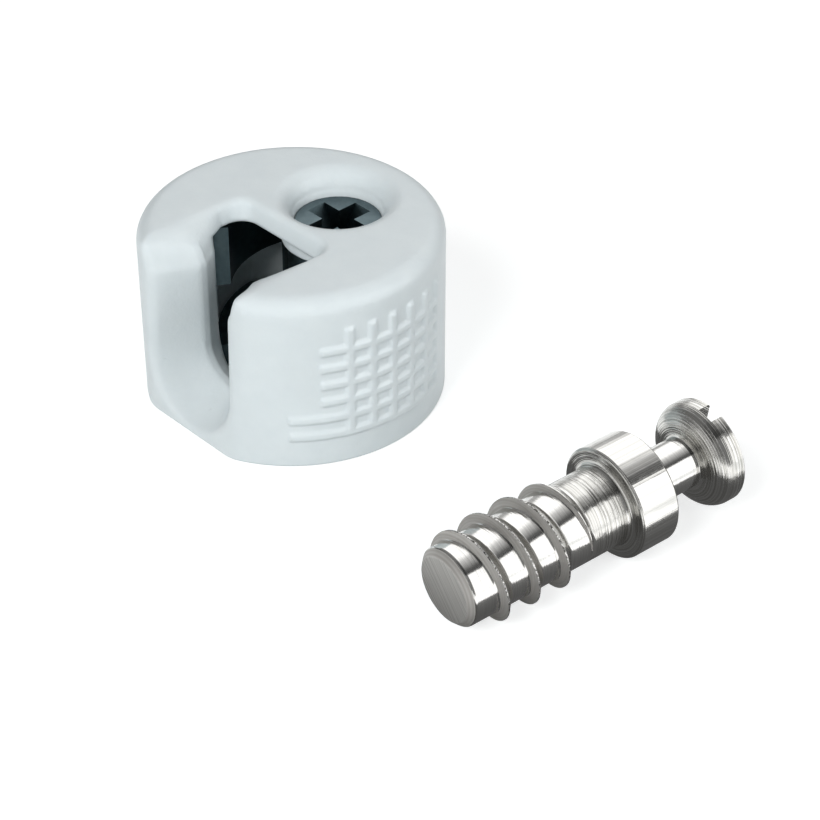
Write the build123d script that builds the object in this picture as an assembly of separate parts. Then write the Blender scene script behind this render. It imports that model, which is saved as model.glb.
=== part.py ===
# Cam lock connector for furniture boards: a moulded housing with a turning cam in it, and the loose
# connecting bolt whose head the cam pulls in. Lengths are in millimetres and angles in degrees.
# The origin is the centre of the housing's bottom face. +Z leaves the driver opening, and the slot
# for the bolt faces -Y. The bolt lies beside the housing on the same surface.
from build123d import *
from math import atan2, cos, degrees, radians, sin, sqrt, tan
import os

# Fits that the pieces share
journal_clearance = 0.06
axial_clearance = 0.1
chamber_clearance = 0.3
collar_clearance = 0.3
neck_clearance = 0.55
head_clearance = 0.25
cam_neck_clearance = 0.2
flange_clearance = 0.15
claw_sweep_clearance = 0.2
head_end_clearance = 0.15
collar_room = 0.95

# Hole in the board that the housing fills. The bolt's axis comes out 8 mm below the board's face
drill_diameter = 20.0
housing_height = 12.3
mouth_floor = 0.4
edge_setback = 0.5

# Bolt
collar_diameter = 7.2
collar_length = 2.85
collar_bevel = 0.15
neck_diameter = 3.3
head_diameter = 6.8
head_length = 2.1
head_rim = 0.6
head_bevel = 0.15
shoulder_steps = 3
head_slot_width = 1.15
head_slot_depth = 0.95
head_slot_turn = 100.0
thread_diameter = 6.3
core_diameter = 5.08
tip_length = 12.0
tip_bevel = 0.42
thread_pitch = 2.24
thread_start = 0.9
thread_end = 9.05
thread_root_width = 0.95
thread_lead_in = 0.9
thread_run_out = 1.6
thread_turn = 150.0
thread_sunk = 0.12
thread_end_overlap = 0.32
thread_flank_drop = 0.17
shank_bevel = 0.3
bolt_offset = 26.2
bolt_collar_y = 1.65
bolt_yaw = -6.0

# Housing
flat_draft = 2.5
rim_radius = 1.0
rim_steps = 3
foot_bevel = 0.25
wall = 1.0
lead_in_depth = 1.45
ceiling = 1.5
neck_plate = 0.5
pocket_back = 1.0
pocket_length = 1.4
lead_in_run = 0.55
lead_in_half_width = 4.2
lead_in_flare = 0.25
pocket_corner = 0.9
tongue_thickness = 0.8
tongue_half_width = 4.2
tongue_overlap = 1.35
tongue_root = 1.5
lug_height = 0.5
lug_edge = 0.3
lug_gap = 0.15
lug_reach = 0.45
lug_half_angle = 14.0
boss_wall = 0.85
boss_depth = 1.4
driver_rim_diameter = 7.2
driver_funnel_depth = 1.4
driver_land = 0.8
driver_lip_bevel = 0.35
driver_lip_share_of_land = 0.8

# Grip ribs
rib_height = 0.18
rib_width = 0.5
bar_count = 6
bar_pitch = 9.0
bar_first = -20.0
bars_below_face = 2.2
row_count = 6
row_first = 2.35
top_row_below_face = 3.7
row_start = -31.0
long_row_start = -43.0
long_row_count = 2

# Cam
journal_diameter = 5.6
hub_diameter = 6.6
claw_grip = 0.1
claw_tip_thickness = 1.0
spiral_rise_middle = 0.65
spiral_rise_end = 1.35
upper_tip_angle = 36.0
lower_tip_angle = 25.0
spiral_step = 30.0
web_start = 98.0
web_end = 150.0
cam_top_below_face = 1.7
recess_span = 4.3
recess_width = 1.45
recess_depth = 2.8
recess_end_span = 1.6

# How far cutting shapes reach past the material, and how deep joined ones reach into it
clear_by = 1.0
merge_by = 0.1

# Places worked out from the dimensions above
barrel_radius = drill_diameter / 2 - rib_height
chamber_radius = barrel_radius - wall
mouth_radius = collar_diameter / 2 + collar_clearance
flat_distance = sqrt(barrel_radius**2 - mouth_radius**2)
edge_distance = flat_distance + edge_setback
bolt_axis_z = mouth_radius + mouth_floor
ceiling_z = housing_height - ceiling
neck_slot_radius = neck_diameter / 2 + neck_clearance
neck_slot_front = edge_distance - collar_length - collar_room
mouth_widening = (mouth_radius - neck_slot_radius) / (flat_distance - neck_slot_front)
outer_mouth_radius = mouth_radius + mouth_widening * clear_by
pocket_radius = head_diameter / 2 + head_clearance
pocket_flare_end = pocket_back + pocket_length
lead_in_back = pocket_back - lead_in_run
head_shoulder = pocket_back + head_end_clearance + head_length
neck_length = edge_distance - collar_length - head_shoulder
cam_offset = driver_rim_diameter / 2 + driver_land - lead_in_back
claw_tip_radius = cam_offset + head_shoulder - claw_grip
claw_reach = claw_tip_radius + claw_tip_thickness
flange_radius = chamber_radius - cam_offset - flange_clearance
journal_radius = journal_diameter / 2
bore_radius = journal_radius + journal_clearance
cam_bottom_z = tongue_thickness + axial_clearance
lug_bottom_z = cam_bottom_z - lug_gap - lug_height
boss_z = ceiling_z - boss_depth
shoulder_z = boss_z - axial_clearance
claw_gap = neck_diameter / 2 + cam_neck_clearance
thread_height = (thread_diameter - core_diameter) / 2
land_behind_driver = barrel_radius - rim_radius - cam_offset - driver_rim_diameter / 2
bar_top = housing_height - bars_below_face
row_pitch = (housing_height - top_row_below_face - row_first) / (row_count - 1)
bar_bottom = row_first - rib_width / 2
bar_half_turn = degrees(rib_width / 2 / barrel_radius)
row_stop = bar_first + (bar_count - 1) * bar_pitch + bar_half_turn


def flat_y(z):
    return -flat_distance + z * tan(radians(flat_draft))


def cylinder_between(radius, bottom, top, x=0.0, y=0.0):
    return Pos(x, y, bottom) * Cylinder(radius, top - bottom, align=(Align.CENTER, Align.CENTER, Align.MIN))


def block(x_low, x_high, y_low, y_high, z_low, z_high):
    size = (x_high - x_low, y_high - y_low, z_high - z_low)
    return Pos(x_low, y_low, z_low) * Box(*size, align=(Align.MIN, Align.MIN, Align.MIN))


# Housing: the outer form

def soft_edges(reach):
    # Half outline from the foot's bevel to the rounded rim, with each height's distance from the axis
    outline = [(reach(0) - foot_bevel, 0), (reach(foot_bevel), foot_bevel)]
    rim_z = housing_height - rim_radius
    for step in range(rim_steps + 1):
        turn = radians(90 * step / rim_steps)
        z = rim_z + rim_radius * sin(turn)
        outline.append((reach(z) - rim_radius * (1 - cos(turn)), z))
    return outline


def barrel():
    half = make_face(Polyline((0, 0), *soft_edges(lambda z: barrel_radius), (0, housing_height), close=True))
    front = [(-reach, z) for reach, z in soft_edges(lambda z: -flat_y(z))]
    behind = 2 * barrel_radius
    side = make_face(Polyline((behind, 0), *front, (behind, housing_height), close=True))
    behind_flat = extrude(Plane.YZ.offset(-behind) * side, 2 * behind)
    return revolve(Plane.XZ * half, Axis.Z) & behind_flat


# Housing: the open slot that takes the bolt

def u_profile(half_width, y):
    top = housing_height + clear_by
    left = (-half_width, bolt_axis_z)
    right = (half_width, bolt_axis_z)
    sides = Polyline(left, (-half_width, top), (half_width, top), right)
    floor = ThreePointArc(right, (0, bolt_axis_z - half_width), left)
    return Plane.XZ.offset(-y) * make_face([*sides.edges(), floor])


def bolt_slot():
    front = u_profile(outer_mouth_radius, -flat_distance - clear_by)
    neck_front = u_profile(neck_slot_radius, -neck_slot_front)
    neck_back = u_profile(neck_slot_radius, -neck_slot_front + neck_plate)
    flare_end = u_profile(pocket_radius, -pocket_flare_end)
    back = u_profile(pocket_radius, -pocket_back)
    mouth = loft([front, neck_front], ruled=True)
    neck = loft([neck_front, neck_back], ruled=True)
    flare = loft([neck_back, flare_end], ruled=True)
    pocket = loft([flare_end, back], ruled=True)
    corners = pocket.edges().filter_by(Axis.Z).group_by(Axis.Y)[-1]
    pocket = fillet(corners, pocket_corner)
    return mouth + neck + flare + pocket


def plan_outline(front_half, neck_half, back_half, back_y, z):
    front_y = -flat_distance - clear_by
    points = [
        (-front_half, front_y),
        (-neck_half, -neck_slot_front),
        (-neck_half, -neck_slot_front + neck_plate),
        (-back_half, -pocket_flare_end),
        (-back_half, back_y),
        (back_half, back_y),
        (back_half, -pocket_flare_end),
        (neck_half, -neck_slot_front + neck_plate),
        (neck_half, -neck_slot_front),
        (front_half, front_y),
    ]
    face = make_face(Polyline(*points, close=True))
    corners = face.vertices().group_by(Axis.Y)[-1]
    return Pos(0, 0, z) * fillet(corners, pocket_corner)


def lead_in():
    low_z = housing_height - lead_in_depth
    low = plan_outline(outer_mouth_radius, neck_slot_radius, pocket_radius, -pocket_back, low_z)
    wide = lead_in_half_width
    high = plan_outline(wide + lead_in_flare, wide, wide, -lead_in_back, housing_height)
    return loft([low, high], ruled=True)


# Housing: the bevelled edge of the driver opening

def driver_lip_edge(body):
    top_face = body.faces().sort_by(Axis.Z)[-1]
    return top_face.edges().filter_by(GeomType.CIRCLE).sort_by_distance((0, cam_offset, housing_height))[0]


# Housing: the chamber, its floor and the bearing of the cam

def chamber():
    chamber_disc = cylinder_between(chamber_radius, -clear_by, ceiling_z)
    sweep_radius = claw_reach + claw_sweep_clearance
    return chamber_disc & cylinder_between(sweep_radius, -clear_by, ceiling_z, 0, cam_offset)


def tongue():
    front = cam_offset - claw_reach - tongue_root
    back = cam_offset - flange_radius + tongue_overlap
    return block(-tongue_half_width, tongue_half_width, front, back, 0, tongue_thickness)


def snap_lug():
    inner = chamber_radius - lug_reach
    outer = chamber_radius + wall / 2
    lug_top_z = lug_bottom_z + lug_height
    profile = Plane.XZ * make_face(Polyline(
        (inner, lug_top_z - lug_edge),
        (inner, lug_top_z),
        (outer, lug_top_z),
        (outer, lug_bottom_z),
        (chamber_radius, lug_bottom_z),
        close=True,
    ))
    ring = revolve(profile, Axis.Z, 2 * lug_half_angle)
    return Rot(0, 0, 90 - lug_half_angle) * ring


def bearing_boss():
    return cylinder_between(bore_radius + boss_wall, boss_z, ceiling_z + merge_by, 0, cam_offset)


def driver_opening():
    funnel_bottom = housing_height - driver_funnel_depth
    bore = cylinder_between(bore_radius, boss_z - clear_by, housing_height + clear_by, 0, cam_offset)
    funnel = Pos(0, cam_offset, funnel_bottom + driver_funnel_depth / 2) * Cone(
        bore_radius, driver_rim_diameter / 2, driver_funnel_depth
    )
    return bore + funnel


# Housing: the lattice of grip ribs

def rib(bottom, top, start, stop):
    root = barrel_radius - merge_by
    crest = barrel_radius + rib_height
    outline = Polyline((root, bottom), (crest, bottom), (crest, top), (root, top), close=True)
    return Rot(0, 0, start) * revolve(Plane.XZ * make_face(outline), Axis.Z, stop - start)


def upright_bar(angle):
    return rib(bar_bottom, bar_top, angle - bar_half_turn, angle + bar_half_turn)


def level_row(z, start, stop):
    return rib(z - rib_width / 2, z + rib_width / 2, start, stop)


def grip_ribs():
    lattice = Part()
    for index in range(bar_count):
        lattice += upright_bar(bar_first + index * bar_pitch)
    for index in range(row_count):
        start = long_row_start if index < long_row_count else row_start
        lattice += level_row(row_first + index * row_pitch, start, row_stop)
    return lattice + mirror(lattice, Plane.YZ)


def make_housing():
    body = barrel() - chamber() + tongue() + bearing_boss() + snap_lug()
    body -= bolt_slot()
    body -= lead_in()
    body -= driver_opening()
    lip_bevel = min(driver_lip_bevel, driver_lip_share_of_land * land_behind_driver)
    body = chamfer(driver_lip_edge(body), lip_bevel)
    return body + grip_ribs()


# Cam. Angles are counted from the front (-Y) towards -X, about the cam's own axis

def claw_point(radius, angle):
    turn = radians(angle)
    return (-radius * sin(turn), cam_offset - radius * cos(turn))


def sector(start, stop, bottom, top):
    reach = 3 * claw_reach
    middle = (start + stop) / 2
    points = [(0, cam_offset), claw_point(reach, start), claw_point(reach, middle), claw_point(reach, stop)]
    return Pos(0, 0, bottom) * extrude(make_face(Polyline(*points, close=True)), top - bottom)


def claw_ring(bottom, top):
    outer = cylinder_between(claw_reach, bottom, top, 0, cam_offset)
    outer &= cylinder_between(chamber_radius - chamber_clearance, bottom, top)
    return outer - spiral_core(bottom, top)


def spiral_core(bottom, top):
    first = claw_point(claw_tip_radius, upper_tip_angle)
    second = claw_point(claw_tip_radius - spiral_rise_middle, upper_tip_angle + spiral_step)
    third = claw_point(claw_tip_radius - spiral_rise_end, upper_tip_angle + 2 * spiral_step)
    arc = ThreePointArc(first, second, third)
    centre = arc.arc_center
    return cylinder_between(arc.radius, bottom - clear_by, top + clear_by, centre.X, centre.Y)


def claws():
    lower_top = bolt_axis_z - claw_gap
    upper_bottom = bolt_axis_z + claw_gap
    upper_top = ceiling_z - chamber_clearance
    lower = claw_ring(cam_bottom_z, lower_top) & sector(lower_tip_angle, web_end, cam_bottom_z, lower_top)
    upper = claw_ring(upper_bottom, upper_top) & sector(upper_tip_angle, web_end, upper_bottom, upper_top)
    rear = claw_ring(cam_bottom_z, upper_top) & sector(web_start, web_end, cam_bottom_z, upper_top)
    return lower + upper + rear


def web():
    outer = cylinder_between(claw_reach, cam_bottom_z, shoulder_z, 0, cam_offset)
    outer &= cylinder_between(chamber_radius - chamber_clearance, cam_bottom_z, shoulder_z)
    return outer & sector(web_start, web_end, cam_bottom_z, shoulder_z)


def cross_recess(top):
    arm = Box(recess_span, recess_width, 2 * recess_depth)
    cross = arm + Rot(0, 0, 90) * arm
    mouth = Rectangle(recess_span, recess_span)
    floor = Pos(0, 0, -recess_depth) * Rectangle(recess_end_span, recess_end_span)
    return Pos(0, cam_offset, top) * (cross & loft([floor, mouth]))


def make_cam():
    top = housing_height - cam_top_below_face
    hub = cylinder_between(hub_diameter / 2, cam_bottom_z, shoulder_z, 0, cam_offset)
    journal = cylinder_between(journal_radius, shoulder_z - merge_by, top, 0, cam_offset)
    flange_top = bolt_axis_z - claw_gap
    flange = cylinder_between(flange_radius, cam_bottom_z, flange_top, 0, cam_offset)
    return hub + journal + flange + web() + claws() - cross_recess(top)


# Bolt, made upright with its tip at the origin, then laid down

def bolt_blank():
    core = core_diameter / 2
    collar = collar_diameter / 2
    neck = neck_diameter / 2
    head = head_diameter / 2
    collar_end = tip_length + collar_length
    head_start = collar_end + neck_length
    head_end = head_start + head_length
    rim_start = head_end - head_rim - head_bevel
    shoulder = [
        (neck + (head - neck) * sin(turn), head_start + (rim_start - head_start) * (1 - cos(turn)))
        for turn in (radians(90 * step / shoulder_steps) for step in range(shoulder_steps + 1))
    ]
    outline = Polyline(
        (0, 0),
        (core - tip_bevel, 0),
        (core, tip_bevel),
        (core, tip_length - shank_bevel),
        (core + shank_bevel, tip_length),
        (collar - collar_bevel, tip_length),
        (collar, tip_length + collar_bevel),
        (collar, collar_end - collar_bevel),
        (collar - collar_bevel, collar_end),
        (neck, collar_end),
        *shoulder,
        (head, head_end - head_bevel),
        (head - head_bevel, head_end),
        (0, head_end),
        close=True,
    )
    return revolve(Plane.XZ * make_face(outline), Axis.Z)


def thread():
    core = core_diameter / 2
    crest = core + thread_height
    path = Helix(thread_pitch, thread_end - thread_start, core)
    section = Plane.XZ * make_face(Polyline(
        (core - thread_sunk, -thread_flank_drop),
        (crest, 0),
        (core - thread_sunk, thread_root_width),
        close=True,
    ))
    ridge = sweep(section, path=path, is_frenet=True)
    ridge = Pos(0, 0, thread_start) * Rot(0, 0, thread_turn) * ridge
    return ridge & thread_envelope()


def thread_envelope():
    # Two cones base to base. They are wider than the crest, so only the ends of the ridge are trimmed
    low = core_diameter / 2 - 2 * thread_sunk
    high = thread_diameter / 2 + clear_by
    slope = (high - low) / (thread_diameter / 2 - low)
    bottom = thread_start - thread_end_overlap
    top = thread_end + thread_end_overlap
    profile = Polyline(
        (0, bottom),
        (low, bottom),
        (high, bottom + thread_lead_in * slope),
        (high, top - thread_run_out * slope),
        (low, top),
        (0, top),
        close=True,
    )
    return revolve(Plane.XZ * make_face(profile), Axis.Z)


def head_slot():
    top = tip_length + collar_length + neck_length + head_length
    cutter = Box(2 * head_diameter, head_slot_width, 2 * head_slot_depth)
    return Pos(0, 0, top) * Rot(0, 0, head_slot_turn) * cutter


def lay_down(upright):
    first_crest = thread_start + thread_pitch / 2
    contact_length = tip_length + collar_bevel - first_crest
    tilt = degrees(atan2((collar_diameter - thread_diameter) / 2, contact_length))
    on_collar = Pos(0, 0, -tip_length - collar_bevel) * upright
    lying = Rot(-90 + tilt, 0, 0) * on_collar
    rest_height = collar_diameter / 2 * cos(radians(tilt))
    return Pos(bolt_offset, bolt_collar_y, rest_height) * Rot(0, 0, bolt_yaw) * lying


def make_bolt():
    return lay_down(bolt_blank() + thread() - head_slot())


os.makedirs("parts", exist_ok=True)
export_step(make_housing(), "parts/housing.step")
export_step(make_cam(), "parts/cam.step")
export_step(make_bolt(), "parts/bolt.step")
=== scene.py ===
# Cam lock connector: a moulded housing with a zinc cam turning in it, and its loose connecting bolt.
# Lengths in the dictionaries are millimetres and angles are degrees. The meshes are in metres.
import bpy
import bmesh
import math
import numpy as np
import openvdb
from mathutils import Matrix, Vector


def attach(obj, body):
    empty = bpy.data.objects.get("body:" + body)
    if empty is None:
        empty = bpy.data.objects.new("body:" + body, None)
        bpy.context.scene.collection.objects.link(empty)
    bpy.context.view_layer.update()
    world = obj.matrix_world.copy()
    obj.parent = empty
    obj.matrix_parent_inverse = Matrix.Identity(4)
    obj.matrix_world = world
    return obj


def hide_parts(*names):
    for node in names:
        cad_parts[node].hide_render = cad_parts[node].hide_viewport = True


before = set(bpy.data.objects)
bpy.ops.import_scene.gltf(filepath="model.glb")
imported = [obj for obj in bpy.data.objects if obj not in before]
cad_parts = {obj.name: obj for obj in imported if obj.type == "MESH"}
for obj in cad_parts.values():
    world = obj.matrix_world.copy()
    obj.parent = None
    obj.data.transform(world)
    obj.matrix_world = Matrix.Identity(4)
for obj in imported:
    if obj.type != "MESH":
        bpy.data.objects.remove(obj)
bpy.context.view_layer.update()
mm = 0.001
print("frame loaded")


# Small helpers for meshes, colours and nodes

def linearColour(hexCode):
    channels = [int(hexCode[i:i + 2], 16) / 255 for i in (1, 3, 5)]
    return (*[c / 12.92 if c <= 0.04045 else ((c + 0.055) / 1.055) ** 2.4 for c in channels], 1)


def addNode(tree, kind, values=None, links=None, **settings):
    node = tree.nodes.new(kind)
    for name, value in settings.items():
        setattr(node, name, value)
    for name, value in (values or {}).items():
        node.inputs[name].default_value = value
    for name, socket in (links or {}).items():
        tree.links.new(socket, node.inputs[name])
    return node


def newMaterial(name):
    material = bpy.data.materials.new(name)
    material.use_nodes = True
    return material, material.node_tree, material.node_tree.nodes["Principled BSDF"]


def newPiece(name, mesh, body, replaced, material):
    piece = bpy.data.objects.new(name, mesh)
    bpy.context.scene.collection.objects.link(piece)
    mesh.materials.append(material)
    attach(piece, body)
    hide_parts(replaced)


# Distance fields: negative inside the material, in millimetres

def roundedMax(a, b, radius):
    # The common part of two solids, with their shared edge rounded
    corner = np.hypot(np.maximum(a + radius, 0), np.maximum(b + radius, 0))
    return np.minimum(np.maximum(a, b), -radius) + corner


def roundedMin(a, b, radius):
    # Two solids joined, with a fillet in the corner between them
    return -roundedMax(-a, -b, radius)


def asDistance(field, step):
    # Evens out the field's slope, so that a rounding gets the radius it is given
    slopes = np.gradient(field, step)
    return field / np.sqrt(sum(slope ** 2 for slope in slopes))


def fieldMesh(name, distance, low, high, step, adaptivity):
    # Samples the field on a grid and turns its zero level into a mesh in metres
    axes = [np.arange(a, b + step, step, dtype=np.float32) for a, b in zip(low, high)]
    x, y, z = np.meshgrid(*axes, indexing="ij")
    grid = openvdb.FloatGrid(1.0)
    grid.copyFromArray(distance(x, y, z, step).astype(np.float32))
    grid.transform = openvdb.createLinearTransform(voxelSize=step)
    points, triangles, quads = grid.convertToPolygons(isovalue=0.0, adaptivity=adaptivity)
    points = (points + np.array(low)) * mm
    mesh = bpy.data.meshes.new(name)
    mesh.from_pydata(points.tolist(), [], quads.tolist() + triangles.tolist())
    mesh.polygons.foreach_set("use_smooth", np.ones(len(mesh.polygons), bool))
    mesh.update()
    print(name, len(quads) * 2 + len(triangles), "triangles")
    return mesh


# Housing: white polyamide, injection moulded in a finely spark-eroded mould, so it is matt and slightly
# grainy. The real grain is about 0.05 mm, too fine to show, so it is drawn at 0.3 mm

housing = {
    "height": 12.3, "barrelRadius": 9.82, "flatDistance": 9.012, "flatDraft": 2.5,
    "rimRadius": 1.1, "footRadius": 0.2, "flatEdgeRadius": 0.25,
    # Bolt slot from the front: mouth, neck slot, head pocket, and the lead-in at the top
    "boltAxis": 4.3, "mouthRadius": 3.9, "neckSlot": 2.2, "pocket": 3.65,
    "neckFront": 5.712, "neckBack": 5.212, "pocketFront": 2.4, "pocketBack": 1.0, "pocketCorner": 0.9,
    "leadInDepth": 1.45, "leadInHalfWidth": 4.2, "leadInFlare": 0.25, "leadInBack": 0.45,
    "leadInBlend": 0.9,
    # The slot's lip is widest at the mouth and runs out fine above the foot
    "mouthLip": 0.5, "footLip": 0.3, "topLip": 0.4,
    "mouthLipStart": 6.5, "mouthLipRun": 1.5, "footLipTop": 0.8, "footLipRun": 3.2,
    # Cam chamber, bearing boss and driver opening
    "ceiling": 1.5, "wall": 1.0, "camOffset": 3.95, "sweepRadius": 8.3,
    "boreRadius": 2.86, "bossRadius": 3.71, "bossDepth": 1.4, "bossRoot": 0.3, "bossFillet": 0.2,
    "driverRim": 3.6, "funnelDepth": 1.4, "driverLip": 0.6,
    # Tongue under the cam's front edge and snap lug under its rear edge
    "tongueHalfWidth": 4.2, "tongueThickness": 0.8, "tongueFront": 5.6, "tongueBack": 0.58,
    "lugInner": 8.37, "lugBottom": 0.25, "lugTop": 0.75, "lugHalfAngle": 14,
    # Grip ribs: upright bars by angle round the barrel, rows by height
    "ribHeight": 0.18, "ribWidth": 0.56, "ribSoftness": 0.32,
    "barFirst": -20, "barPitch": 9, "barCount": 6, "barBottom": 2.1, "barTop": 10.1,
    "rowFirst": 2.35, "rowPitch": 1.25, "rowCount": 6,
    "rowStart": -31, "longRowStart": -43, "longRows": 2, "rowStop": 26.5,
    "gridLow": (-10.3, -9.3, -0.3), "gridHigh": (10.3, 10.1, 12.6), "gridStep": 0.075, "adaptivity": 0.012,
    "darkTint": "#d1dadd", "lightTint": "#dbe3e5", "tintSize": 1.6,
    "grainSize": 0.3, "grainDepth": 0.02, "roughness": 0.42,
    # How deep light goes into the plastic, for all colours and for each, and how much of it does
    "lightDepth": 0.6, "lightDepthByColour": (0.5, 0.55, 0.6), "lightShare": 0.12,
}


def band(distance, halfWidth, softness):
    # 1 inside the band, 0 outside, with soft shoulders
    t = np.clip((halfWidth + softness / 2 - np.abs(distance)) / softness, 0, 1)
    return t * t * (3 - 2 * t)


def gripRibs(x, y, z):
    h = housing
    angle = np.degrees(np.arctan2(y, np.abs(x)))
    perDegree = math.radians(1) * h["barrelRadius"]
    half, soft = h["ribWidth"] / 2, h["ribSoftness"]
    lattice = np.zeros_like(x)
    middle, reach = (h["barTop"] + h["barBottom"]) / 2, (h["barTop"] - h["barBottom"]) / 2
    upright = band(z - middle, reach, soft)
    for index in range(h["barCount"]):
        offset = (angle - h["barFirst"] - index * h["barPitch"]) * perDegree
        lattice = np.maximum(lattice, band(offset, half, soft) * upright)
    for index in range(h["rowCount"]):
        start = h["longRowStart"] if index < h["longRows"] else h["rowStart"]
        along = (angle - (start + h["rowStop"]) / 2) * perDegree
        across = band(z - h["rowFirst"] - index * h["rowPitch"], half, soft)
        lattice = np.maximum(lattice, across * band(along, (h["rowStop"] - start) / 2 * perDegree, soft))
    return lattice * h["ribHeight"]


def slotHalfWidth(y):
    # The mouth's funnel goes on to 1 mm outside the flat
    h = housing
    widening = (h["mouthRadius"] - h["neckSlot"]) / (h["flatDistance"] - h["neckFront"])
    outside = h["mouthRadius"] + widening
    places = [-h["flatDistance"] - 1, -h["neckFront"], -h["neckBack"], -h["pocketFront"], 0]
    return np.interp(y, places, [outside, h["neckSlot"], h["neckSlot"], h["pocket"], h["pocket"]])


def boltSlot(x, y, z, step):
    h = housing
    halfWidth = slotHalfWidth(y).astype(np.float32)
    belowAxis = np.minimum(z - h["boltAxis"], 0)
    slot = asDistance(np.hypot(x, belowAxis) - halfWidth, step)
    slot = roundedMax(slot, y + h["pocketBack"], h["pocketCorner"])
    # The lead-in widens the slot towards the top face, most of all at the mouth
    rise = (z - h["height"] + h["leadInDepth"]) / h["leadInDepth"]
    towardsMouth = np.clip((-y - h["neckFront"]) / (h["flatDistance"] - h["neckFront"]), 0, 1)
    wide = h["leadInHalfWidth"] + h["leadInFlare"] * towardsMouth
    leadIn = asDistance(np.abs(x) - halfWidth - (wide - halfWidth) * rise, step)
    backFace = asDistance(y + h["pocketBack"] - (h["pocketBack"] - h["leadInBack"]) * rise, step)
    leadIn = roundedMax(leadIn, backFace, h["pocketCorner"])
    leadIn = np.maximum(leadIn, h["height"] - h["leadInDepth"] - z)
    return -roundedMax(-slot, -leadIn, h["leadInBlend"])


def camChamber(x, y, z):
    h = housing
    disc = np.hypot(x, y) - (h["barrelRadius"] - h["wall"])
    sweep = np.hypot(x, y - h["camOffset"]) - h["sweepRadius"]
    return np.maximum(np.maximum(disc, sweep), z - (h["height"] - h["ceiling"]))


def driverOpening(x, y, z, step):
    # A bore with a funnel, which goes on above the top face
    h = housing
    radial = np.hypot(x, y - h["camOffset"])
    rise = np.clip((z - h["height"] + h["funnelDepth"]) / h["funnelDepth"], 0, 2)
    return asDistance(radial - h["boreRadius"] - (h["driverRim"] - h["boreRadius"]) * rise, step)


def housingField(x, y, z, step):
    h = housing
    draft = math.radians(h["flatDraft"])
    barrel = np.hypot(x, y) - h["barrelRadius"] - gripRibs(x, y, z)
    flat = (-h["flatDistance"] + z * math.tan(draft) - y) * math.cos(draft)
    body = roundedMax(barrel, z - h["height"], h["rimRadius"])
    body = roundedMax(body, flat, h["flatEdgeRadius"])
    body = roundedMax(body, -z, h["footRadius"])
    body = np.maximum(body, -camChamber(x, y, z))
    # The bearing boss hangs from the ceiling
    boss = np.hypot(x, y - h["camOffset"]) - h["bossRadius"]
    ceilingZ = h["height"] - h["ceiling"]
    boss = np.maximum(np.maximum(boss, ceilingZ - h["bossDepth"] - z), z - ceilingZ - h["bossRoot"])
    body = roundedMin(body, boss, h["bossFillet"])
    # The tongue and the snap lug hold the cam from below
    tongue = np.maximum(y - h["tongueBack"], -y - h["tongueFront"])
    tongue = np.maximum(np.abs(x) - h["tongueHalfWidth"], tongue)
    tongue = np.maximum(tongue, np.maximum(z - h["tongueThickness"], -z))
    body = np.minimum(body, tongue)
    fromCentre = np.abs(np.degrees(np.arctan2(x, y))) - h["lugHalfAngle"]
    lugMiddle, lugReach = (h["lugTop"] + h["lugBottom"]) / 2, (h["lugTop"] - h["lugBottom"]) / 2
    lug = np.maximum(h["lugInner"] - np.hypot(x, y), np.hypot(x, y) - h["barrelRadius"] + h["wall"] / 2)
    lug = np.maximum(lug, fromCentre * math.radians(h["lugInner"]))
    body = np.minimum(body, np.maximum(lug, np.abs(z - lugMiddle) - lugReach))
    towardsFront = np.clip((-y - h["mouthLipStart"]) / h["mouthLipRun"], 0, 1)
    aboveFoot = np.clip((z - h["footLipTop"]) / h["footLipRun"], 0, 1)
    mouthLip = h["footLip"] + (h["mouthLip"] - h["footLip"]) * aboveFoot
    lip = h["topLip"] + (mouthLip - h["topLip"]) * towardsFront
    body = roundedMax(body, -boltSlot(x, y, z, step), lip)
    return roundedMax(body, -driverOpening(x, y, z, step), h["driverLip"])


def mouldedPolyamide():
    # A little light goes into the plastic, which softens the shade of the ribs and lips
    h = housing
    material, tree, shader = newMaterial("mouldedPolyamide")
    place = addNode(tree, "ShaderNodeTexCoord").outputs["Object"]
    grainScale = {"Scale": 1 / (h["grainSize"] * mm), "Detail": 3.0}
    grain = addNode(tree, "ShaderNodeTexNoise", grainScale, {"Vector": place})
    cloudScale = {"Scale": 1 / (h["tintSize"] * mm), "Detail": 5.0}
    cloud = addNode(tree, "ShaderNodeTexNoise", cloudScale, {"Vector": place})
    tints = {"A": linearColour(h["darkTint"]), "B": linearColour(h["lightTint"])}
    tint = addNode(tree, "ShaderNodeMix", tints, {"Factor": cloud.outputs["Fac"]}, data_type="RGBA")
    depth = {"Strength": 1.0, "Distance": h["grainDepth"] * mm}
    bump = addNode(tree, "ShaderNodeBump", depth, {"Height": grain.outputs["Fac"]})
    tree.links.new(tint.outputs["Result"], shader.inputs["Base Color"])
    tree.links.new(bump.outputs["Normal"], shader.inputs["Normal"])
    shader.inputs["Roughness"].default_value = h["roughness"]
    shader.inputs["IOR"].default_value = 1.53
    shader.inputs["Subsurface Weight"].default_value = h["lightShare"]
    shader.inputs["Subsurface Radius"].default_value = h["lightDepthByColour"]
    shader.inputs["Subsurface Scale"].default_value = h["lightDepth"] * mm
    return material


def makeHousing():
    h = housing
    mesh = fieldMesh("housingMoulding", housingField, h["gridLow"], h["gridHigh"],
                     h["gridStep"], h["adaptivity"])
    newPiece("housingMoulding", mesh, "housing", "housing", mouldedPolyamide())


makeHousing()
print("housing made")


# Cam: zinc pressure die casting, left raw, so it is dull, with a fine uneven skin. Its dark teal grey is
# painted shade: the colour is darkened for the shade the cam lies in inside the housing. The CAD mesh stays

# Both tints are dark teal grey, painted shade for the cam's place in the housing's shade; the skin mixes them
# at random
cam = {"darkTint": "#4c5b60", "lightTint": "#68777b", "skinSize": 0.5, "skinDepth": 0.02, "roughness": 0.38}


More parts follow.
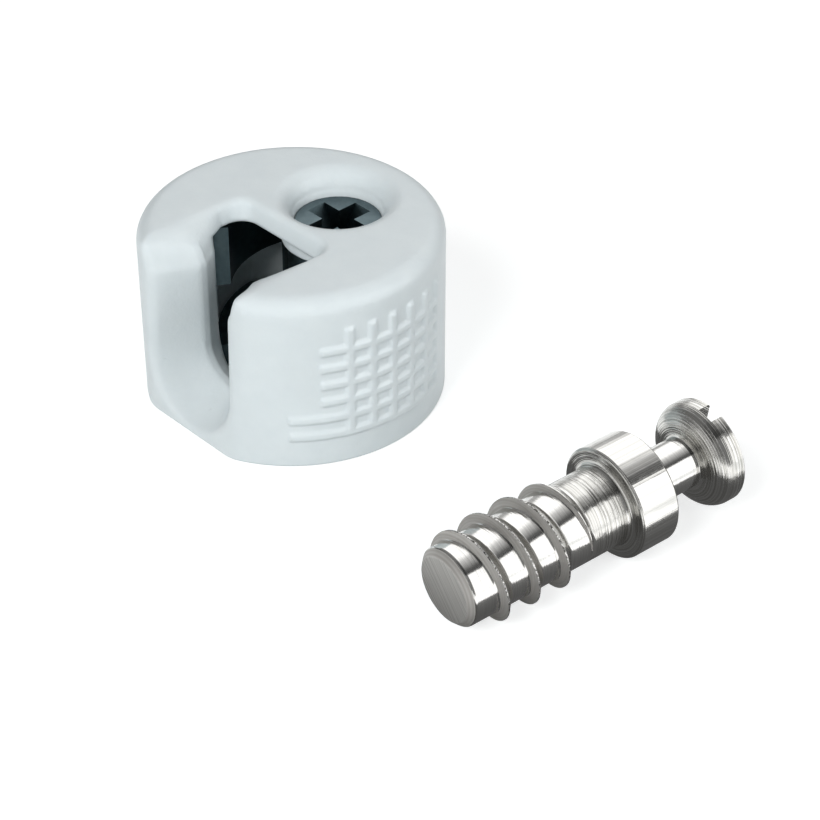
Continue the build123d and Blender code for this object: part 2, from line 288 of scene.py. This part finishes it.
def zincCasting():
    material, tree, shader = newMaterial("zincCasting")
    place = addNode(tree, "ShaderNodeTexCoord").outputs["Object"]
    skinScale = {"Scale": 1 / (cam["skinSize"] * mm), "Detail": 4.0}
    skin = addNode(tree, "ShaderNodeTexNoise", skinScale, {"Vector": place})
    tints = {"A": linearColour(cam["darkTint"]), "B": linearColour(cam["lightTint"])}
    tint = addNode(tree, "ShaderNodeMix", tints, {"Factor": skin.outputs["Fac"]}, data_type="RGBA")
    depth = {"Strength": 0.3, "Distance": cam["skinDepth"] * mm}
    bump = addNode(tree, "ShaderNodeBump", depth, {"Height": skin.outputs["Fac"]})
    tree.links.new(tint.outputs["Result"], shader.inputs["Base Color"])
    tree.links.new(bump.outputs["Normal"], shader.inputs["Normal"])
    shader.inputs["Metallic"].default_value = 1.0
    shader.inputs["Roughness"].default_value = cam["roughness"]
    return material


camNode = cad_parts["cam"]
camNode.data.materials.clear()
camNode.data.materials.append(zincCasting())
print("cam finished")


# Bolt: free-cutting steel, turned on a lathe, its thread rolled, and bright nickel plated. The tool leaves
# rings on the shank, collar face and head, the rolls leave bright smooth roots and duller flanks, and the saw
# leaves the end grey. Real rings, streaks and saw lines lie 0.05 to 0.1 mm apart, too fine to show, so they
# are drawn at 0.12 to 0.2 mm

bolt = {
    "tipLength": 12.0, "coreRadius": 2.54, "tipBevel": 0.42, "tipEdge": 0.06, "tipShoulder": 0.1,
    "collarRadius": 3.6, "collarLength": 2.85, "collarBevel": 0.15, "collarEdge": 0.04,
    "neckRadius": 1.65, "neckLength": 3.412, "neckFillet": 0.08, "neckFoot": (0.1, 0.15), "neckRunIn": 0.05,
    "headRadius": 3.4, "headLength": 2.1, "headRim": 0.6, "headBevel": 0.15, "headEdge": 0.05,
    "slotWidth": 1.15, "slotDepth": 0.95, "slotTurn": 100,
    # The thread's feet and crest are measured along the bolt from its helix. It grows over leadIn turns and
    # fades over runOut turns, from startWidth of its full width
    "threadRadius": 3.15, "pitch": 2.24, "threadStart": 0.9, "threadEnd": 9.05, "threadTurn": 150,
    "frontFoot": -0.17, "rearFoot": 0.85, "crestWidth": 0.09, "flankTop": 0.965,
    "leadIn": 0.35, "runOut": 0.7, "startWidth": 0.3,
    "plainTip": 0.6, "plainShank": 11.45, "filletRadius": 0.42, "rounds": 192,
    # Where it lies: the collar's place on the floor and the turn of the bolt
    "offset": 26.2, "collarY": 1.65, "yaw": -6.0,
    # Each finish: dark and light colour, roughness, size and depth of its marks, and their kind
    "finishes": {
        "turnedSteel": ("#b4b3ae", "#d6d5d2", 0.17, 0.16, 0.065, "rings"),  # soft bright rings
        "rolledRoot": ("#d0cfcc", "#d8d7d4", 0.12, 0.16, 0.014, "rings"),  # smooth, almost a mirror
        "rolledFlank": ("#dddbd7", "#e3e1de", 0.75, 0.16, 0.003, "rings"),  # dull grey beside the roots
        "sawnEnd": ("#d9d8d4", "#f0efec", 0.65, 0.12, 0.012, "saw"),  # grey with straight saw lines
        "collarSide": ("#cbcac6", "#dad9d6", 0.13, 0.2, 0.018, "streaks"),  # bright, streaks along the bolt
        "rolledCrest": ("#45433f", "#ecebe8", 0.3, 0.12, 0.12, "specks"),  # dark and bright specks along the crest, and glints
    },
    "sawTurn": 140, "patchSize": 0.9,  # the marks come and go in patches
}


def roundedOutline(corners):
    # Corners are (radius, height, rounding). Each rounding becomes a short arc
    points, arcSteps = [], 6
    for index, (r, z, rounding) in enumerate(corners):
        here = Vector((r, z))
        if rounding == 0 or index in (0, len(corners) - 1):
            points.append(here)
            continue
        before = (Vector(corners[index - 1][:2]) - here).normalized() * rounding
        after = (Vector(corners[index + 1][:2]) - here).normalized() * rounding
        for step in range(arcSteps + 1):
            t = step / arcSteps
            points.append((1 - t) ** 2 * (here + before) + 2 * t * (1 - t) * here + t ** 2 * (here + after))
    return points


def tipOutline():
    b = bolt
    return roundedOutline([
        (0, 0, 0), (b["coreRadius"] - b["tipBevel"], 0, b["tipEdge"]),
        (b["coreRadius"], b["tipBevel"], b["tipShoulder"]), (b["coreRadius"], b["plainTip"], 0),
    ])


def collarAndHeadOutline():
    b = bolt
    shank = b["tipLength"]
    collarEnd = shank + b["collarLength"]
    headStart = collarEnd + b["neckLength"]
    headEnd = headStart + b["headLength"]
    rimStart = headEnd - b["headRim"] - b["headBevel"]
    bowl, bowlSteps = [], 16
    for step in range(1, bowlSteps + 1):
        turn = math.radians(90 * step / bowlSteps)
        r = b["neckRadius"] + (b["headRadius"] - b["neckRadius"]) * math.sin(turn)
        bowl.append((r, headStart + (rimStart - headStart) * (1 - math.cos(turn)), 0))
    collarFace, collarEdge = b["collarRadius"] - b["collarBevel"], b["collarEdge"]
    neckStep, neckRise = b["neckFoot"]
    return roundedOutline([
        (b["coreRadius"], b["plainShank"], 0), (b["coreRadius"], shank, b["filletRadius"]),
        (collarFace, shank, collarEdge), (b["collarRadius"], shank + b["collarBevel"], collarEdge),
        (b["collarRadius"], collarEnd - b["collarBevel"], collarEdge), (collarFace, collarEnd, collarEdge),
        (b["neckRadius"] + neckStep, collarEnd, b["neckFillet"]),
        (b["neckRadius"], collarEnd + neckRise, b["neckFillet"]),
        (b["neckRadius"], headStart - b["neckRunIn"], collarEdge), *bowl,
        (b["headRadius"], headEnd - b["headBevel"], b["headEdge"]),
        (b["headRadius"] - b["headBevel"], headEnd, b["headEdge"]), (0, headEnd, 0),
    ])


def turnedRings(made, outline):
    # Rings of points for a turned outline, joined by faces
    rounds = bolt["rounds"]
    rings = []
    for r, z in outline:
        count = 1 if r == 0 else rounds
        turns = [2 * math.pi * k / count for k in range(count)]
        rings.append([made.verts.new((r * math.cos(t) * mm, r * math.sin(t) * mm, z * mm)) for t in turns])
    for lower, upper in zip(rings, rings[1:]):
        for k in range(rounds):
            corners = [lower[k % len(lower)], lower[(k + 1) % len(lower)]]
            corners += [upper[(k + 1) % len(upper)], upper[k % len(upper)]]
            made.faces.new(list(dict.fromkeys(corners)))
    return rings


def threadSection():
    # The ridge from its foot towards the tip, up the steep flank, over the crest and down the hollow flank.
    # Each point is (millimetres along the bolt, share of the thread's height)
    b = bolt
    foot, crest = b["frontFoot"], b["crestWidth"]
    section = [(foot - 0.14, 0), (foot - 0.05, 0.012), (foot, 0.06), (foot + 0.03, 0.16), (-0.01, 0.97)]
    flankStart, flankTop, flankSteps = crest + 0.02, b["flankTop"], 8
    section += [(0.01, 1.0), (crest, 1.0), (flankStart, flankTop)]
    for step in range(1, flankSteps + 1):
        t = step / flankSteps
        section.append((flankStart + (b["rearFoot"] - crest) * t, flankTop * (1 - t) ** 1.5))
    return section


def addThread(made, tipRing, shankRing):
    # One strip winds up the shank. Each turn shares its edge with the next, so the bolt stays one closed skin
    b = bolt
    rounds = b["rounds"]
    section = threadSection()
    height = b["threadRadius"] - b["coreRadius"]
    last = round((b["threadEnd"] - b["threadStart"]) / b["pitch"] * rounds)
    shift = round(b["threadTurn"] / 360 * rounds)

    def rowPoints(row, count):
        turn = 2 * math.pi * (row + shift) / rounds
        grown = max(0, min(1, row / rounds / b["leadIn"], (last - row) / rounds / b["runOut"]))
        grown = math.sin(grown * math.pi / 2)
        points = []
        for along, up in section[:count]:
            r = b["coreRadius"] + height * up * grown
            width = b["startWidth"] + (1 - b["startWidth"]) * grown
            z = b["threadStart"] + b["pitch"] * row / rounds + along * width
            points.append(made.verts.new((r * math.cos(turn) * mm, r * math.sin(turn) * mm, z * mm)))
        return points

    rows = [rowPoints(row, len(section)) for row in range(last + 1)]
    rows += [rowPoints(row, 1) for row in range(last + 1, last + rounds + 1)]
    for row in range(last + 1):
        rows[row].append(rows[row + rounds][0])
    for row in range(last):
        for k in range(len(section)):
            made.faces.new((rows[row][k], rows[row][k + 1], rows[row + 1][k + 1], rows[row + 1][k]))
    for row in range(rounds):
        here, after = (row + shift) % rounds, (row + 1 + shift) % rounds
        side = rows[0] if row == rounds - 1 else [rows[row + 1][0]]
        made.faces.new([tipRing[here], tipRing[after], *side, rows[row][0]])
        here, after = (here + last) % rounds, (after + last) % rounds
        side = rows[last][::-1] if row == 0 else [rows[last + row][0]]
        made.faces.new([shankRing[after], shankRing[here], *side, rows[last + row + 1][0]])


def cutHeadSlot(piece):
    b = bolt
    top = b["tipLength"] + b["collarLength"] + b["neckLength"] + b["headLength"]
    cutter = bmesh.new()
    bmesh.ops.create_cube(cutter, size=1)
    size = Matrix.Diagonal((4 * b["headRadius"] * mm, b["slotWidth"] * mm, 2 * b["slotDepth"] * mm, 1))
    turned = Matrix.Rotation(math.radians(b["slotTurn"]), 4, "Z")
    cutter.transform(Matrix.Translation((0, 0, top * mm)) @ turned @ size)
    mesh = bpy.data.meshes.new("slotCutter")
    cutter.to_mesh(mesh)
    box = bpy.data.objects.new("slotCutter", mesh)
    bpy.context.scene.collection.objects.link(box)
    cut = piece.modifiers.new("slot", "BOOLEAN")
    cut.operation = "DIFFERENCE"
    cut.object = box
    cut.solver = "EXACT"
    depsgraph = bpy.context.evaluated_depsgraph_get()
    result = bpy.data.meshes.new_from_object(piece.evaluated_get(depsgraph))
    piece.modifiers.clear()
    piece.data = result
    bpy.data.objects.remove(box)


def steelMaterial(name, darkColour, lightColour, roughness, markSize, markDepth, marks):
    # The pattern is laid out on the upright bolt, so the Mapping node takes back how the bolt lies
    material, tree, shader = newMaterial(name)
    lying = layDown()
    room = addNode(tree, "ShaderNodeTexCoord").outputs["Object"]
    values = {"Location": lying.to_translation(), "Rotation": lying.to_euler()}
    mapping = addNode(tree, "ShaderNodeMapping", values, {"Vector": room}, vector_type="TEXTURE")
    place = mapping.outputs["Vector"]
    split = addNode(tree, "ShaderNodeSeparateXYZ", links={"Vector": place})
    flatPlace = addNode(tree, "ShaderNodeVectorMath", {1: (1, 1, 0)}, {0: place}, operation="MULTIPLY")
    reach = addNode(tree, "ShaderNodeVectorMath", links={0: flatPlace.outputs[0]}, operation="LENGTH")
    scale = {"Scale": 1 / (markSize * mm), "Detail": 3.0}
    if marks == "rings":
        across = addNode(tree, "ShaderNodeMath", links={0: split.outputs["Z"], 1: reach.outputs["Value"]},
                         operation="ADD")
    elif marks == "streaks":
        turn = addNode(tree, "ShaderNodeMath", links={0: split.outputs["Y"], 1: split.outputs["X"]},
                       operation="ARCTAN2")
        across = addNode(tree, "ShaderNodeMath", {1: bolt["collarRadius"] * mm}, {0: turn.outputs[0]},
                         operation="MULTIPLY")
    else:
        turn = math.radians(bolt["sawTurn"])
        across = addNode(tree, "ShaderNodeVectorMath", {1: (math.cos(turn), math.sin(turn), 0)}, {0: place},
                         operation="DOT_PRODUCT")
    if marks == "specks":
        lines = addNode(tree, "ShaderNodeTexNoise", scale, {"Vector": place})
    else:
        lines = addNode(tree, "ShaderNodeTexNoise", scale, {"W": across.outputs["Value"]},
                        noise_dimensions="1D")
    patchScale = {"Scale": 1 / (bolt["patchSize"] * mm), "Detail": 2.0}
    patches = addNode(tree, "ShaderNodeTexNoise", patchScale, {"Vector": place})
    strength = addNode(tree, "ShaderNodeMath", links={0: lines.outputs["Fac"], 1: patches.outputs["Fac"]},
                       operation="MULTIPLY")
    depth = {"Strength": 1.0, "Distance": markDepth * mm}
    bump = addNode(tree, "ShaderNodeBump", depth, {"Height": strength.outputs[0]})
    # The noise keeps to its middle values, so those are spread over both colours. Grooves are the rougher part
    contrast = addNode(tree, "ShaderNodeMapRange", {"From Min": 0.38, "From Max": 0.6},
                       {"Value": lines.outputs["Fac"]})
    tints = {"A": linearColour(darkColour), "B": linearColour(lightColour)}
    tint = addNode(tree, "ShaderNodeMix", tints, {"Factor": contrast.outputs["Result"]}, data_type="RGBA")
    rough = addNode(tree, "ShaderNodeMapRange", {"To Min": roughness * 1.3, "To Max": roughness * 0.75},
                    {"Value": lines.outputs["Fac"]})
    tree.links.new(tint.outputs["Result"], shader.inputs["Base Color"])
    tree.links.new(bump.outputs["Normal"], shader.inputs["Normal"])
    tree.links.new(rough.outputs["Result"], shader.inputs["Roughness"])
    shader.inputs["Metallic"].default_value = 1.0
    return material


def finishOf(face):
    # Which finish a face has, by its height along the bolt, its distance from the axis and the way it looks
    b = bolt
    # How far from a height or radius still counts, and from which slope on a face looks towards the tip
    endBand, crestBand, rollBand, neckBand, collarBand, facesTip = 0.01, 0.03, 0.5, 0.1, 0.05, -0.7
    height = face.center.z / mm
    reach = math.hypot(face.center.x, face.center.y) / mm
    rolled = height < b["threadEnd"] + rollBand
    collarEnd = b["tipLength"] + b["collarLength"]
    onCollar = b["tipLength"] + b["collarBevel"] < height < collarEnd - b["collarBevel"]
    if height < endBand:
        return "sawnEnd"
    if rolled and reach > b["threadRadius"] - crestBand:
        return "rolledCrest"
    if rolled and face.normal.z < facesTip:
        return "rolledFlank"
    if rolled or collarEnd + neckBand < height < collarEnd + b["neckLength"]:
        return "rolledRoot"
    return "collarSide" if onCollar and reach > b["collarRadius"] - collarBand else "turnedSteel"


def layDown():
    # The bolt is made upright on its tip, then lies on its collar and its first crest
    b = bolt
    firstCrest = b["threadStart"] + b["pitch"] / 2
    tilt = math.atan2(b["collarRadius"] - b["threadRadius"], b["tipLength"] + b["collarBevel"] - firstCrest)
    place = Matrix.Translation(Vector((b["offset"], b["collarY"], b["collarRadius"] * math.cos(tilt))) * mm)
    turn = Matrix.Rotation(math.radians(b["yaw"]), 4, "Z") @ Matrix.Rotation(tilt - math.pi / 2, 4, "X")
    return place @ turn @ Matrix.Translation((0, 0, -(b["tipLength"] + b["collarBevel"]) * mm))


def makeBolt():
    made = bmesh.new()
    tip = turnedRings(made, tipOutline())
    rest = turnedRings(made, collarAndHeadOutline())
    addThread(made, tip[-1], rest[0])
    bmesh.ops.recalc_face_normals(made, faces=made.faces)
    mesh = bpy.data.meshes.new("connectingBolt")
    made.to_mesh(mesh)
    piece = bpy.data.objects.new("connectingBolt", mesh)
    bpy.context.scene.collection.objects.link(piece)
    cutHeadSlot(piece)
    faces = piece.data.polygons
    piece.data.materials.clear()
    for name, finish in bolt["finishes"].items():
        piece.data.materials.append(steelMaterial(name, *finish))
    order = list(bolt["finishes"])
    faces.foreach_set("material_index", [order.index(finishOf(face)) for face in faces])
    faces.foreach_set("use_smooth", np.ones(len(faces), bool))
    piece.data.set_sharp_from_angle(angle=math.radians(30))
    piece.data.transform(layDown())
    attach(piece, "housing")
    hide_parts("bolt")
    print("connectingBolt", sum(len(face.vertices) - 2 for face in faces), "triangles")


makeBolt()
print("bolt made")


# Studio: pale floor, white surroundings, two soft lamps, and, for gloss alone, a tent of light and dark strips
# and two cards that paint reflections under and beside the bolt

studio = {
    # Directions are degrees round from the bolt slot's side, -Y, towards +X, and degrees up
    "target": (12.83, -1.72, 5.0), "azimuth": 46.85, "elevation": 36.1, "distance": 150,
    "imageWidth": 820, "pixelsPerMm": 16.27,
    # Each lamp: direction, elevation, size and watts
    "lampTarget": (12, 0, 5), "lampDistance": 400,
    "lamps": {"keyLamp": (14, 40, 200, 1.1), "sideLamp": (98, 22, 250, 0.65)},
    "worldLight": 0.27, "floorColour": "#cbcece", "floorRoughness": 0.8, "floorGlow": 0.65,
    "floorHalf": 1500, "floorDrop": 0.02, "cardDrop": 0.01,  # below the object, so that no faces coincide
    # Tent over the bolt. Each strip: degrees from the horizon on the bolt's right over the top, and brightness
    "tentRadius": 260, "tentBack": -420, "tentFront": 420,
    "tentStrips": [(0, 1.7), (53, 1.7), (55, 0.04), (66, 0.1), (92, 0.8), (104, 1.6), (154, 1.6),
                   (165, 0.5), (180, 0.5)],
    "archEnd": 60, "archBlend": 20, "archBrightness": 0.12,
    # Cards seen only in gloss paint reflections into the bolt: a dark one under it, a bright one beside it
    "underCard": 10.0, "sideCard": 120.0, "underCardBrightness": 0.1, "sideCardBrightness": 1.6,
}


def towards(azimuth, elevation):
    a, e = math.radians(azimuth), math.radians(elevation)
    return Vector((math.sin(a) * math.cos(e), -math.cos(a) * math.cos(e), math.sin(e)))


def aim(thing, place, target):
    thing.location = place
    thing.rotation_euler = (target - place).to_track_quat("-Z", "Y").to_euler()


def makeCamera():
    s = studio
    data = bpy.data.cameras.new("camera")
    data.lens = data.sensor_width * s["pixelsPerMm"] * s["distance"] / s["imageWidth"]
    data.clip_start = 1 * mm
    camera = bpy.data.objects.new("camera", data)
    bpy.context.scene.collection.objects.link(camera)
    target = Vector(s["target"]) * mm
    aim(camera, target + towards(s["azimuth"], s["elevation"]) * s["distance"] * mm, target)
    bpy.context.scene.camera = camera


def addLamp(name, azimuth, elevation, size, watts):
    # Not seen by gloss, which has the tent
    data = bpy.data.lights.new(name, "AREA")
    data.shape = "DISK"
    data.size = size * mm
    data.energy = watts
    lamp = bpy.data.objects.new(name, data)
    bpy.context.scene.collection.objects.link(lamp)
    target = Vector(studio["lampTarget"]) * mm
    aim(lamp, target + towards(azimuth, elevation) * studio["lampDistance"] * mm, target)
    lamp.visible_glossy = False


def seenDirectly(tree):
    # 1 for the camera and for what metal and glass show, 0 for the light that falls on the object
    rays = addNode(tree, "ShaderNodeLightPath").outputs
    first = addNode(tree, "ShaderNodeMath", links={0: rays["Is Camera Ray"], 1: rays["Is Glossy Ray"]},
                    operation="ADD")
    return addNode(tree, "ShaderNodeMath", links={0: first.outputs[0], 1: rays["Is Transmission Ray"]},
                   operation="ADD", use_clamp=True).outputs[0]


def makeWorld():
    world = bpy.data.worlds.new("studio")
    bpy.context.scene.world = world
    world.use_nodes = True
    tree = world.node_tree
    light = tree.nodes["Background"]
    light.inputs["Color"].default_value = linearColour("#ffffff")
    light.inputs["Strength"].default_value = studio["worldLight"]
    white = addNode(tree, "ShaderNodeBackground", {"Color": (1, 1, 1, 1), "Strength": 1.0})
    mix = addNode(tree, "ShaderNodeMixShader",
                  links={0: seenDirectly(tree), 1: light.outputs[0], 2: white.outputs[0]})
    tree.links.new(mix.outputs[0], tree.nodes["World Output"].inputs["Surface"])


def stageMesh(name, points, faces, material):
    mesh = bpy.data.meshes.new(name)
    mesh.from_pydata([tuple(Vector(p) * mm) for p in points], [], faces)
    mesh.materials.append(material)
    piece = bpy.data.objects.new(name, mesh)
    bpy.context.scene.collection.objects.link(piece)
    return piece


def makeFloor():
    # The glow makes the floor white to the camera and in gloss, and leaves the object's shadow on it
    s = studio
    material, tree, shader = newMaterial("paleFloor")
    shader.inputs["Base Color"].default_value = linearColour(s["floorColour"])
    shader.inputs["Roughness"].default_value = s["floorRoughness"]
    glow = addNode(tree, "ShaderNodeMath", {1: s["floorGlow"]}, {0: seenDirectly(tree)}, operation="MULTIPLY")
    tree.links.new(glow.outputs[0], shader.inputs["Emission Strength"])
    shader.inputs["Emission Color"].default_value = (1, 1, 1, 1)
    half, low = s["floorHalf"], -s["floorDrop"]
    corners = [(-half, -half, low), (half, -half, low), (half, half, low), (-half, half, low)]
    stageMesh("floor", corners, [(0, 1, 2, 3)], material)


def onlyForGloss(piece):
    piece.visible_camera = False
    piece.visible_diffuse = False
    piece.visible_transmission = False
    piece.visible_shadow = False


def makeTent():
    s, b = studio, bolt
    material, tree, shader = newMaterial("tentStrips")
    place = addNode(tree, "ShaderNodeTexCoord").outputs["Object"]
    split = addNode(tree, "ShaderNodeSeparateXYZ", links={"Vector": place})
    turn = addNode(tree, "ShaderNodeMath", links={0: split.outputs["Z"], 1: split.outputs["X"]},
                   operation="ARCTAN2")
    share = addNode(tree, "ShaderNodeMath", {1: 1 / math.pi}, {0: turn.outputs[0]}, operation="MULTIPLY")
    strips = addNode(tree, "ShaderNodeValToRGB", links={"Fac": share.outputs[0]})
    ramp = strips.color_ramp
    for index, (angle, bright) in enumerate(s["tentStrips"]):
        stop = ramp.elements[index] if index < 2 else ramp.elements.new(angle / 180)
        stop.position = angle / 180
        stop.color = (bright, bright, bright, 1)
    shader.inputs["Base Color"].default_value = (0, 0, 0, 1)
    shader.inputs["Emission Strength"].default_value = 1.0
    # Towards the tip the tent is dark, which draws the dark band in the head's bowl
    archStart, archStop = (s["archEnd"] - s["archBlend"]) * mm, (s["archEnd"] + s["archBlend"]) * mm
    values = {"From Min": archStart, "From Max": archStop, "To Min": s["archBrightness"], "To Max": 1.0}
    arch = addNode(tree, "ShaderNodeMapRange", values, {"Value": split.outputs["Y"]})
    light = addNode(tree, "ShaderNodeVectorMath",
                    links={0: strips.outputs["Color"], "Scale": arch.outputs["Result"]}, operation="SCALE")
    tree.links.new(light.outputs[0], shader.inputs["Emission Color"])
    points, panels = [], 60
    for step in range(panels + 1):
        angle = math.radians(180 / panels * step)
        x, z = s["tentRadius"] * math.cos(angle), s["tentRadius"] * math.sin(angle)
        points += [(x, s["tentBack"], z), (x, s["tentFront"], z)]
    faces = [(2 * k, 2 * k + 1, 2 * k + 3, 2 * k + 2) for k in range(panels)]
    tent = stageMesh("tent", points, faces, material)
    tent.location = Vector((b["offset"], b["collarY"], 0)) * mm
    tent.rotation_euler.z = math.radians(b["yaw"])
    onlyForGloss(tent)


def addFloorCard(name, left, right, brightness):
    # A card that lies beside or under the bolt, along its whole length. It glows and only gloss sees it, so it
    # is a painted reflection in the bolt: dark under it, bright beside it
    s, b = studio, bolt
    material, tree, shader = newMaterial(name)
    shader.inputs["Base Color"].default_value = (0, 0, 0, 1)
    shader.inputs["Emission Color"].default_value = (1, 1, 1, 1)
    shader.inputs["Emission Strength"].default_value = brightness
    back, low = -b["tipLength"] - s["underCard"], -s["cardDrop"]
    front = b["neckLength"] + b["headLength"] + s["underCard"]
    corners = [(left, back, low), (right, back, low), (right, front, low), (left, front, low)]
    card = stageMesh(name, corners, [(0, 1, 2, 3)], material)
    card.location = Vector((b["offset"], b["collarY"], 0)) * mm
    card.rotation_euler.z = math.radians(b["yaw"])
    onlyForGloss(card)


makeCamera()
makeWorld()
makeFloor()
makeTent()
# Painted reflections seen only in gloss: a dark card under the bolt and a bright one beside it
addFloorCard("underCard", -studio["underCard"], studio["underCard"], studio["underCardBrightness"])
addFloorCard("sideCard", studio["underCard"], studio["sideCard"], studio["sideCardBrightness"])
for name, lamp in studio["lamps"].items():
    addLamp(name, *lamp)
bpy.context.scene.view_settings.view_transform = "Standard"
print("studio made")
